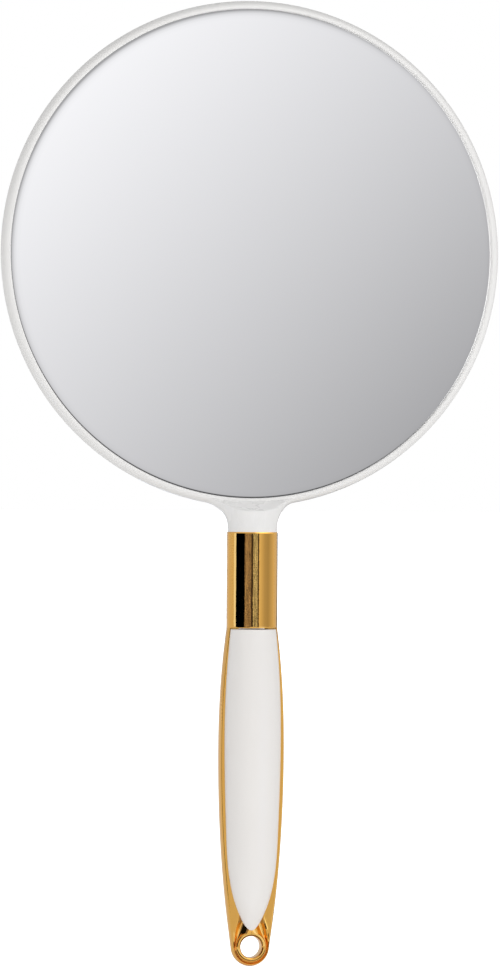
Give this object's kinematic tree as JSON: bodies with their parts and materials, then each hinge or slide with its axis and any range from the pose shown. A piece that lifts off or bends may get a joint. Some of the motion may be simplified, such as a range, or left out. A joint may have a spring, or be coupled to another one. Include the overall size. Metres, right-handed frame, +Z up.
{
  "type": "hand mirror",
  "caption": "Round hand mirror in a slim white rim, on a round white grip with gold collar, gold side rails and a hanging eye at its end.",
  "frame": {"origin": "on the handle's axis, half way up the grip, where a hand holds the mirror", "axes": "+Z up the handle to the head, the mirror faces -Y, +X to the right as seen from the front"},
  "size_m": [0.188, 0.0222, 0.3584],
  "materials": {
    "white_plastic": "moulded ABS, smooth semi-gloss, very slightly warm white",
    "gold_plating": "electroplated gold on moulded ABS, mirror bright, with fine specks and hairline scratches",
    "glass": "polished float glass with ground edges, silvered behind",
    "backing_paint": "silver coating under grey protective paint",
    "foam": "closed-cell foam mounting tape",
    "screw_steel": "zinc-plated self-tapping screws"
  },
  "bodies": {
    "root": {"head_frame": "white_plastic", "back_cover": "white_plastic", "front_grip": "white_plastic", "rear_grip": "white_plastic", "handle_frame": "gold_plating", "mirror_glass": "glass", "mirror_backing": "backing_paint", "foam_pads": "foam", "tang_screws": "screw_steel"}
  },
  "joints": []
}
